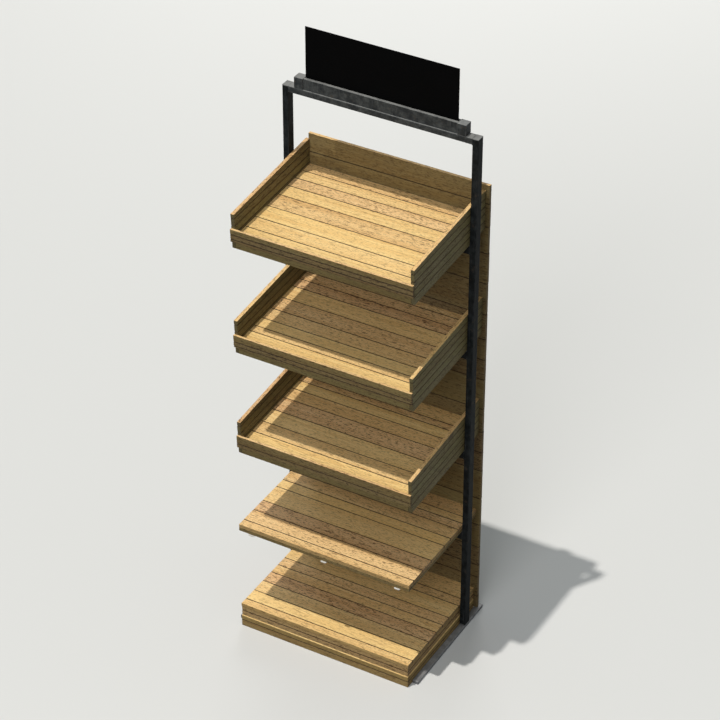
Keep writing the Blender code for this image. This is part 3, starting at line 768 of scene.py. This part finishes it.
def steelMaterial(name, dark, light, metal, rough, worn, dustAndHighlightAmount, shine, rusty):
    material, tree, shader = newMaterial(name)
    place = put(tree, "ShaderNodeTexCoord").outputs["Object"]
    spread = put(tree, "ShaderNodeGroup", node_tree=mottle)
    wear = put(tree, "ShaderNodeGroup", node_tree=edgeWear)
    fall = put(tree, "ShaderNodeGroup", node_tree=dustAndHighlight)
    for group in (spread, wear, fall):
        tree.links.new(place, group.inputs["Place"])
    colour = blended(tree, spread.outputs["Patch"], dark, light)
    grainy = ranged(tree, spread.outputs["Fine"], *marks["grain"])
    colour = layered(tree, colour, grainy, steel["grainDepth"], steel["grainShade"], "MULTIPLY")
    colour = layered(tree, colour, spread.outputs["Rust"], rusty, steel["rust"])
    colour = layered(tree, colour, spread.outputs["Scratch"], steel["scratchDepth"], steel["bare"])
    colour = layered(tree, colour, wear.outputs["Worn"], worn, steel["bare"])
    # dust and painted highlight: up-facing faces turn pale grey
    dustAndHighlightShare = sums(tree, "MULTIPLY", fall.outputs["DustAndHighlight"], dustAndHighlightAmount)
    colour = blended(tree, dustAndHighlightShare, colour, steel["dustAndHighlight"])
    tree.links.new(colour, shader.inputs["Base Color"])
    dull = sums(tree, "MULTIPLY_ADD", spread.outputs["Patch"], steel["patchDull"], rough)
    dull = sums(tree, "MULTIPLY_ADD", dustAndHighlightShare, steel["dustDull"], dull)
    dull = sums(tree, "MULTIPLY_ADD", spread.outputs["Fine"], steel["grainDull"], dull)
    tree.links.new(dull, shader.inputs["Roughness"])
    shader.inputs["Metallic"].default_value = metal
    shader.inputs["Specular IOR Level"].default_value = shine
    relief(tree, shader, spread.outputs["Fine"], steel["bump"], steel["bumpHeight"])
    return material


darkSteel = steelMaterial("darkSteel", steel["dark"], steel["light"], metal=0.0, rough=0.50,
                          worn=0.40, dustAndHighlightAmount=0.85, shine=0.06, rusty=0.35)
headerSteel = steelMaterial("headerSteel", steel["header"], steel["headerLight"], metal=0.0,
                            rough=0.48, worn=0.70, dustAndHighlightAmount=0.90, shine=0.18, rusty=0.45)
footSteel = steelMaterial("footSteel", steel["foot"], steel["footLight"], metal=0.45, rough=0.34,
                          worn=0.60, dustAndHighlightAmount=0.55, shine=0.5, rusty=0.20)
zincSteel = steelMaterial("zincSteel", steel["zinc"], steel["zincLight"], metal=0.15, rough=0.42,
                          worn=0.30, dustAndHighlightAmount=0.10, shine=0.5, rusty=0.05)
capPlastic = steelMaterial("capPlastic", steel["cap"], steel["capLight"], metal=0.0, rough=0.55,
                           worn=0.20, dustAndHighlightAmount=0.85, shine=0.3, rusty=0.0)

sides = ("left", "right")
shelves = ("tray_1", "tray_2", "tray_3", "shelf_4")
dress(["%s_post" % side for side in sides] + ["%s_rail" % node for node in shelves]
      + ["%s_%s_arm" % (node, side) for node in shelves for side in sides], darkSteel)
dress(["top_crossbar", "sign_front_bar", "sign_rear_bar", "sign_left_block", "sign_right_block"],
      headerSteel)
dress(["left_foot", "right_foot"], footSteel)
dress(["left_post_cap", "right_post_cap"], capPlastic)
print("steel dressed")

signLook = {
    "black": (0.0012, 0.0012, 0.0013), "hazy": (0.0024, 0.0024, 0.0026),
    "hazeScale": (9.0, 9.0, 9.0), "haze": (0.35, 0.75), "fineScale": (900.0, 900.0, 900.0),
    "rough": 0.74, "hazeDull": 0.14, "bump": 0.15, "bumpHeight": 0.0001, "shine": 0.03,
}


def signMaterial():
    material, tree, shader = newMaterial("signBlack")
    place = put(tree, "ShaderNodeTexCoord").outputs["Object"]
    haze = ranged(tree, noise(tree, place, signLook["hazeScale"], 4.0, 0.6), *signLook["haze"])
    fine = noise(tree, place, signLook["fineScale"], 2.0)
    colour = blended(tree, haze, signLook["black"], signLook["hazy"])
    tree.links.new(colour, shader.inputs["Base Color"])
    dull = sums(tree, "MULTIPLY_ADD", haze, signLook["hazeDull"], signLook["rough"])
    tree.links.new(dull, shader.inputs["Roughness"])
    relief(tree, shader, fine, signLook["bump"], signLook["bumpHeight"])
    shader.inputs["Specular IOR Level"].default_value = signLook["shine"]
    return material


dress(["sign_sheet"], signMaterial())
print("sign dressed")

# ---- welds and fastenings ----

weld = {
    "drop": (0.0024, 0.0024, 0.0018), "sides": 8, "rings": 5,
    "trail": 0.4, "sunken": (0.72, 0.80, 0.72),
    "pitch": 0.0026, "scatter": 0.0002, "bite": 0.0004, "tubeEnd": 0.003, "armEnd": 0.002,
    "footRun": (0.003, 0.017), "armSide": 0.0027,
    "postInner": 0.3035, "postFront": 0.10035, "postBack": 0.13035,
}


def copyTo(master, places, name, turns=None):
    # copies of one small shape, each with its own mesh, joined to a single piece
    pieces = []
    for number, place in enumerate(places):
        twin = master.copy()
        twin.data = master.data.copy()
        turn = turns[number] if turns else Matrix.Identity(4)
        twin.data.transform(Matrix.Translation(place) @ turn)
        bpy.context.collection.objects.link(twin)
        pieces.append(twin)
    bpy.data.objects.remove(master, do_unlink=True)
    return joinUp(pieces, name)


def seamPoints(start, end):
    start, end = Vector(start), Vector(end)
    count = max(2, round((end - start).length / weld["pitch"]))
    points = []
    for step in range(count):
        off = Vector([dice.uniform(-weld["scatter"], weld["scatter"]) for side in range(3)])
        points.append(start.lerp(end, step / (count - 1)) + off)
    return points


def makeDrop():
    # one weld drop with a flat, sunken trailing side
    deselect()
    bpy.ops.mesh.primitive_uv_sphere_add(segments=weld["sides"], ring_count=weld["rings"],
                                         radius=1.0, scale=weld["drop"])
    drop = bpy.context.object
    bpy.ops.object.transform_apply(location=True, rotation=True, scale=True)
    bpy.ops.object.mode_set(mode="EDIT")
    wide, deep = weld["drop"][:2]
    selectWhere(drop, "VERT", lambda vert: vert.co.y > weld["trail"] * deep and vert.co.x > -wide)
    bpy.ops.transform.resize(value=weld["sunken"])
    bpy.ops.object.mode_set(mode="OBJECT")
    return drop


def makeWelds():
    drop = makeDrop()
    near, far, inner = weld["postFront"], weld["postBack"], weld["postInner"]
    places = []
    for tube in ["%s_rail" % node for node in shelves] + ["top_crossbar"]:
        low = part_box(tube)[0]
        for sign in (-1, 1):                                    # under the tube's end, on the post
            x = sign * (inner - weld["bite"])
            places += seamPoints((x, near + weld["tubeEnd"], low.z),
                                 (x, far - weld["tubeEnd"], low.z))
    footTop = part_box("left_foot")[1].z
    start, end = weld["footRun"]
    for sign in (-1, 1):                                        # round the foot of each post
        for y in (near, far):
            places += seamPoints((sign * (inner + start), y, footTop),
                                 (sign * (inner + end), y, footTop))
    for node in shelves:                                        # both sides of each arm on its rail
        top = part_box(node + "_rail")[1].z
        for side in sides:
            low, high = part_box("%s_%s_arm" % (node, side))
            middle = (low.x + high.x) / 2
            for sign in (-1, 1):
                x = middle + sign * weld["armSide"]
                places += seamPoints((x, near + weld["armEnd"], top),
                                     (x, far - weld["armEnd"], top))
    beads = copyTo(drop, places, "welds")
    bpy.ops.object.shade_smooth()
    beads.data.materials.append(darkSteel)
    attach(beads, "rack")


makeWelds()
print("welds laid")


def flatHead(size):
    # a short cylinder with a raised middle; it is left in edit mode with that face selected
    deselect()
    bpy.ops.mesh.primitive_cylinder_add(vertices=size["sides"], radius=size["radius"],
                                        depth=size["thick"])
    head = bpy.context.object
    bpy.ops.object.mode_set(mode="EDIT")
    selectWhere(head, "FACE", lambda face: face.normal.z > facing["up"])
    bpy.ops.mesh.inset(thickness=size["rim"])
    bpy.ops.transform.translate(value=(0, 0, size["dome"]))
    return head


screw = {
    "sides": 12, "radius": 0.0042, "thick": 0.0014, "rim": 0.0006, "dome": 0.0003,
    "recess": 0.0022, "deep": 0.0009, "smooth": math.radians(30),
    "proud": 0.0005, "sunk": 0.0003, "aside": 0.009, "endRoom": 0.045,   # on the battens
    "tab": 0.0043, "tabProud": 0.0008, "tabRise": 0.004,                 # on the arms' tabs
}


def makeScrews():
    # flat heads with a round driving recess
    head = flatHead(screw)
    bpy.ops.mesh.inset(thickness=screw["radius"] - screw["rim"] - screw["recess"])
    bpy.ops.mesh.extrude_region_move(TRANSFORM_OT_translate={"value": (0, 0, -screw["deep"])})
    bpy.ops.mesh.inset(thickness=screw["rim"])
    bpy.ops.object.mode_set(mode="OBJECT")
    rear = Matrix.Rotation(math.radians(-90), 4, "X")
    front = Matrix.Rotation(math.radians(90), 4, "X")
    places, turns = [], []
    edges = seamLines(0.0, 1.0, backPanel["seams"])
    bottom, top = backPanel["low"], backPanel["high"]
    rise = top - bottom
    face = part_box("back_left_batten")[1].y - screw["thick"] / 2 + screw["proud"] - screw["sunk"]
    for number in range(len(edges) - 1):
        z = bottom + rise * (edges[number] + edges[number + 1]) / 2
        z = min(max(z, bottom + screw["endRoom"]), top - screw["endRoom"])
        for sign in (-1, 1):
            x = sign * backPanel["battenX"] + (screw["aside"] if number % 2 else -screw["aside"])
            places.append(Vector((x, face, z)))
            turns.append(rear)
    y = rack["panel"] - screw["tab"] - screw["thick"] / 2 + screw["tabProud"]
    for node in shelves:
        for side in sides:
            low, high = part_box("%s_%s_arm" % (node, side))
            middle = (low.x + high.x) / 2
            z = (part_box(node + "_rail")[1].z + high.z) / 2 + screw["tabRise"]
            for sign in (-1, 1):
                places.append(Vector((middle + sign * screw["aside"], y, z)))
                turns.append(front)
    heads = copyTo(head, places, "screws", turns)
    bpy.ops.object.shade_smooth_by_angle(angle=screw["smooth"])
    heads.data.materials.append(footSteel)
    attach(heads, "rack")


makeScrews()
print("screws set")

brad = {
    "sides": 8, "radius": 0.0011, "thick": 0.0010, "rim": 0.0003, "dome": 0.00015,
    "proud": 0.0001, "inset": 0.0065, "trayInset": 0.021,
    "narrow": 0.035, "one": (0.5,), "two": (0.25, 0.75),   # a narrow board gets one, others two
}


def bradRows(seams, start, end):
    edges = seamLines(start, end, seams)
    for number in range(len(edges) - 1):
        wide = edges[number + 1] - edges[number]
        for spot in brad["one"] if wide < brad["narrow"] else brad["two"]:
            yield edges[number] + spot * wide


def makeBrads():
    # small flat nails through the ends of the floor boards
    head = flatHead(brad)
    bpy.ops.object.mode_set(mode="OBJECT")
    places, turns = [], []
    sink = brad["thick"] / 2 - brad["proud"]
    tilt = tray["tilt"]
    lean = Matrix.Rotation(tilt, 4, "X")
    for x in (-1, 1):
        for seams, z in ((shelf["seams"], shelf["top"]), (base["seams"], base["top"])):
            for y in bradRows(seams, rack["front"], rack["panel"]):
                places.append(Vector((x * (rack["halfWidth"] - brad["inset"]), y, z - sink)))
                turns.append(Matrix.Identity(4))
        for number, rise in enumerate(tray["undersides"]):
            origin = Vector((0, rack["front"] + tray["lip"][1] * math.sin(tilt), rise))
            end = (rack["panel"] - origin.y) / math.cos(tilt)
            for run in bradRows(tray["floorSeams"][number], tray["lipThick"], end):
                spot = Vector((x * (rack["halfWidth"] - brad["trayInset"]), run,
                               tray["floor"][1] - sink))
                places.append(origin + lean.to_3x3() @ spot)
                turns.append(lean)
    nails = copyTo(head, places, "brads", turns)
    nails.data.materials.append(footSteel)
    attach(nails, "rack")


makeBrads()
print("brads set")

tab = {
    "places": (-0.257, 0.003, 0.2615), "wide": 0.020, "thick": 0.002, "nose": 0.0055,
    "rise": 0.010, "round": 0.005, "ease": 0.0004, "sharp": math.radians(50), "slack": 0.001,
}


def makeTabs():
    # bright clips that grip the flat shelf's front strip; only their noses show
    under = shelf["top"] - shelf["thick"] - shelf["frame"] - rack["touch"]
    front = rack["front"] - tab["nose"]
    behind = rack["front"] + shelf["thick"] + rack["touch"]
    end = behind + tab["thick"]
    deselect()
    bpy.ops.mesh.primitive_cube_add(
        size=1, location=(0, (front + end) / 2, under - tab["thick"] / 2),
        scale=(tab["wide"], end - front, tab["thick"]))
    plate = bpy.context.object
    bpy.ops.object.transform_apply(location=True, rotation=True, scale=True)
    bpy.ops.object.mode_set(mode="EDIT")
    bpy.ops.mesh.select_mode(type="FACE")
    bpy.ops.mesh.select_all(action="SELECT")
    bpy.ops.mesh.bisect(plane_co=(0, behind, 0), plane_no=(0, 1, 0))
    selectWhere(plate, "FACE", lambda face: face.normal.z > facing["up"]
                and face.calc_center_median().y > behind)
    bpy.ops.mesh.extrude_region_move(TRANSFORM_OT_translate={"value": (0, 0, tab["rise"])})
    selectWhere(plate, "EDGE", lambda edge: runsAlong(edge, 2)
                and max(vert.co.y for vert in edge.verts) < front + tab["slack"])
    bpy.ops.mesh.bevel(offset=tab["round"], segments=4, affect="EDGES")
    selectWhere(plate, "EDGE", lambda edge: turnsOver(edge, tab["sharp"]))
    bpy.ops.mesh.bevel(offset=tab["ease"], segments=2, affect="EDGES")
    bpy.ops.object.mode_set(mode="OBJECT")
    clips = copyTo(plate, [Vector((x, 0, 0)) for x in tab["places"]], "shelfClips")
    bpy.ops.object.shade_smooth_by_angle(angle=rack["smooth"])
    clips.data.materials.append(zincSteel)
    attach(clips, "rack")


makeTabs()
print("shelf clips set")
